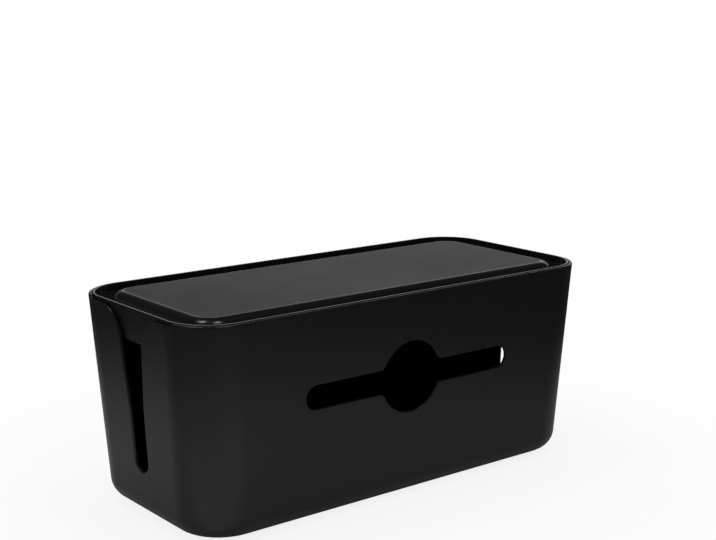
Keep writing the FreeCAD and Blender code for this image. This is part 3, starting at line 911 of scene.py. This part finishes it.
def moulded_plastic(name, scene, is_lid):
    """Black moulded plastic: a fine even grain, slight waves from the mould and cloudy gloss."""
    finishes = scene.cablebox_finish
    finish = Finish(name)
    place = finish.place()
    clouds = finish.noise(place, CLOUD_SCALE, detail=3)
    streaks = finish.noise(place, STREAK_SCALE, detail=4, roughness=0.6)
    grain = finish.noise(place, GRAIN_SCALE, detail=2, roughness=0.6)
    waves = finish.noise(place, WAVE_SCALE, detail=1)
    tone = tuple(finishes.plastic)
    roughness = finishes.tub_roughness
    if is_lid:
        inset = finish.inset(place, scene.cablebox_tub)
        edge = scene.cablebox_lid.panel_inset
        blur = 0.6 * MM
        roughness = finish.fade(
            inset, edge - blur, edge + blur, finishes.lid_roughness, finishes.panel_roughness)
    uneven = (clouds - 0.5) * 0.10 + (streaks - 0.5) * 0.06 + (grain - 0.5) * 0.08
    normal = finish.bump(waves, strength=0.25, distance=0.6 * MM)
    normal = finish.bump(grain, strength=0.30, distance=0.03 * MM, normal=normal)
    shader = finish.add("ShaderNodeBsdfPrincipled", {}, {
        "Base Color": finish.shade(clouds, scaled(tone, 0.85), scaled(tone, 1.15)),
        "Roughness": roughness + uneven,
        "Specular IOR Level": finishes.shine,
        "Normal": normal}, "BSDF")
    return finish.output(shader)


def moulded_rubber(name, finishes):
    """Matt black rubber."""
    finish = Finish(name)
    place = finish.place()
    grain = finish.noise(place, RUBBER_SCALE, detail=3)
    tone = tuple(finishes.rubber)
    shader = finish.add("ShaderNodeBsdfPrincipled", {}, {
        "Base Color": finish.shade(grain, scaled(tone, 0.8), scaled(tone, 1.3)),
        "Roughness": 0.78 + (grain - 0.5) * 0.2,
        "Specular IOR Level": 0.3,
        "Normal": finish.bump(grain, strength=0.4, distance=0.05 * MM)}, "BSDF")
    return finish.output(shader)


# Studio

def seen_rays(finish):
    """What the camera sees, and what it sees by reflection or through glass, each as 0 or 1."""
    camera = finish.add("ShaderNodeLightPath", {}, {}, "Is Camera Ray")
    glossy = finish.add("ShaderNodeLightPath", {}, {}, "Is Glossy Ray")
    through = finish.add("ShaderNodeLightPath", {}, {}, "Is Transmission Ray")
    mirrored = finish.add("ShaderNodeMath", {"operation": "MAXIMUM"}, {0: glossy, 1: through})
    return camera, mirrored


def heading(turn):
    """The level direction at an angle from +Y towards +X."""
    return Vector((math.sin(turn), math.cos(turn), 0))


def add_lamp(studio, name, turn, rise, power):
    """A round soft lamp that looks at the box, at an angle round it and a height above the horizon."""
    direction = heading(turn) * math.cos(rise) + Vector((0, 0, math.sin(rise)))
    place = Vector((0, 0, LAMP_TARGET)) + direction * studio.lamp_distance
    deselect_all()
    bpy.ops.object.light_add(type="AREA", location=place)
    lamp = bpy.context.object
    lamp.name = name
    lamp.rotation_euler = (-direction).to_track_quat("-Z", "Y").to_euler()
    lamp.data.shape = "DISK"
    lamp.data.size = studio.lamp_width
    lamp.data.energy = power


def add_camera(studio):
    """The camera, which looks at the box from the front left and slightly from above."""
    deselect_all()
    bpy.ops.object.camera_add(location=studio.camera_place)
    camera = bpy.context.object
    camera.name = "camera"
    camera.rotation_euler = (math.pi / 2 - studio.camera_drop, 0, -studio.camera_turn)
    camera.data.sensor_width = studio.sensor
    camera.data.lens = studio.focal
    camera.data.clip_end = 200
    bpy.context.scene.camera = camera


def pale_floor(studio):
    """A pale matt floor that fades out at its edge and can't be seen from below.

    In reflections its colour carries painted shade, darker away from the box and to the right, and a
    painted light before the near corner.
    """
    finish = Finish("floor_pale")
    camera_ray, mirrored_ray = seen_rays(finish)
    edge = studio.floor_size / 2
    place = finish.place()
    away = finish.vector("LENGTH", place, output="Value")
    beside = finish.dot(place, heading(studio.camera_turn + math.pi / 2))
    corner = (tub_low.x + CORNER_INSET[0], tub_low.y + CORNER_INSET[1], 0)
    from_corner = finish.vector("NORMALIZE", finish.vector("SUBTRACT", place, corner))
    behind = finish.dot(from_corner, heading(studio.camera_turn))
    # Painted shade and light for reflections: the floor's colour is darker away from the box and to the
    # right, and brighter before the near corner.
    mirrored = (
        finish.fade(away, studio.floor_bright, edge, studio.floor_mirrored, studio.ceiling)
        * finish.fade(beside, 0.0, studio.dim_from, 1.0, studio.painted_shade_right)
        * finish.fade(behind, *CORNER_FLOOR, CORNER_PAINTED_LIGHT, 1.0))
    black = (0.0, 0.0, 0.0)
    # Only in reflections is the floor's colour scaled by this painted tone; the camera sees it unchanged.
    colour = finish.shade(mirrored_ray * (1 - mirrored), tuple(studio.floor), black)
    matt = finish.add("ShaderNodeBsdfDiffuse", {}, {"Color": colour}, "BSDF")
    white = finish.add("ShaderNodeEmission", {}, {"Color": (1, 1, 1, 1), "Strength": 1.0})
    share_white = finish.fade(away, studio.shadow_near, studio.shadow_far, 1 - studio.keep_shadow, 1.0)
    sheet = finish.add("ShaderNodeMixShader", {}, {0: camera_ray * share_white, 1: matt, 2: white})
    clear = finish.add("ShaderNodeBsdfTransparent", {}, {})
    from_below = finish.add("ShaderNodeNewGeometry", {}, {}, "Backfacing")
    faded = finish.fade(away, studio.floor_whole, edge, 0.0, 1.0)
    gone = finish.add("ShaderNodeMath", {"operation": "MAXIMUM"}, {0: faded, 1: from_below})
    return finish.output(finish.add("ShaderNodeMixShader", {}, {0: gone, 1: sheet, 2: clear}))


def add_floor(studio):
    """The round floor."""
    deselect_all()
    bpy.ops.mesh.primitive_circle_add(vertices=128, radius=studio.floor_size / 2, fill_type="NGON")
    floor = name_new("floor")
    floor.data.materials.append(pale_floor(studio))


def add_world(studio):
    """A white surrounding that gives even light. In reflections only a low backdrop in it is bright."""
    world = World("studio")
    camera_ray, mirrored_ray = seen_rays(world)
    direction = world.add("ShaderNodeTexCoord", {}, {}, "Generated")
    rise = world.add("ShaderNodeSeparateXYZ", {}, {"Vector": direction}, "Z")
    facing = world.dot(direction, heading(studio.camera_turn + studio.backdrop_turn))
    backdrop = (
        world.fade(rise, *BACKDROP_TOP, 1.0, 0.0) * world.fade(rise, *BACKDROP_FOOT, 0.0, 1.0)
        * world.fade(facing, *BACKDROP_SIDE, studio.around, 1.0))
    mirrored = studio.ceiling + backdrop * (studio.backdrop_mirrored - studio.ceiling)
    strength = studio.sky + camera_ray * (1 - studio.sky) + mirrored_ray * (mirrored - studio.sky)
    light = world.add("ShaderNodeBackground", {}, {"Color": (1, 1, 1, 1), "Strength": strength})
    bpy.context.scene.world = world.output(light)


class CABLEBOX_OT_stage(bpy.types.Operator):
    """Sets up the camera, the floor, the world and the lamps"""

    bl_idname = "cablebox.stage"
    bl_label = "Stage"

    def execute(self, context):
        studio = context.scene.cablebox_studio
        add_camera(studio)
        add_floor(studio)
        add_world(studio)
        camera_side = math.pi + studio.camera_turn
        for name, turn, rise, power in LAMPS:
            add_lamp(studio, name, camera_side + math.radians(turn), math.radians(rise), power)
        context.scene.view_settings.view_transform = "Standard"
        return {"FINISHED"}


# Add-on

class CABLEBOX_PT_panel(bpy.types.Panel):
    """Buttons for the pieces of the cable box and its studio"""

    bl_idname = "CABLEBOX_PT_panel"
    bl_label = "Cable box"
    bl_space_type = "VIEW_3D"
    bl_region_type = "UI"
    bl_category = "Cable box"

    def draw(self, context):
        for operator in OPERATORS:
            self.layout.operator(operator.bl_idname)


OPERATORS = (CABLEBOX_OT_stage, CABLEBOX_OT_tub, CABLEBOX_OT_lid, CABLEBOX_OT_feet)
GROUPS = {
    "cablebox_tub": TubSizes, "cablebox_slots": SlotSizes, "cablebox_lid": LidSizes,
    "cablebox_foot": FootSizes, "cablebox_finish": Finishes, "cablebox_studio": Studio}
CLASSES = tuple(GROUPS.values()) + OPERATORS + (CABLEBOX_PT_panel,)


def register():
    for item in CLASSES:
        bpy.utils.register_class(item)
    for name, group in GROUPS.items():
        setattr(bpy.types.Scene, name, bpy.props.PointerProperty(type=group))


def unregister():
    for name in GROUPS:
        delattr(bpy.types.Scene, name)
    for item in reversed(CLASSES):
        bpy.utils.unregister_class(item)


def main():
    register()
    bpy.ops.cablebox.stage()
    bpy.ops.cablebox.tub()
    bpy.ops.cablebox.lid()
    bpy.ops.cablebox.feet()


if __name__ == "__main__":
    main()
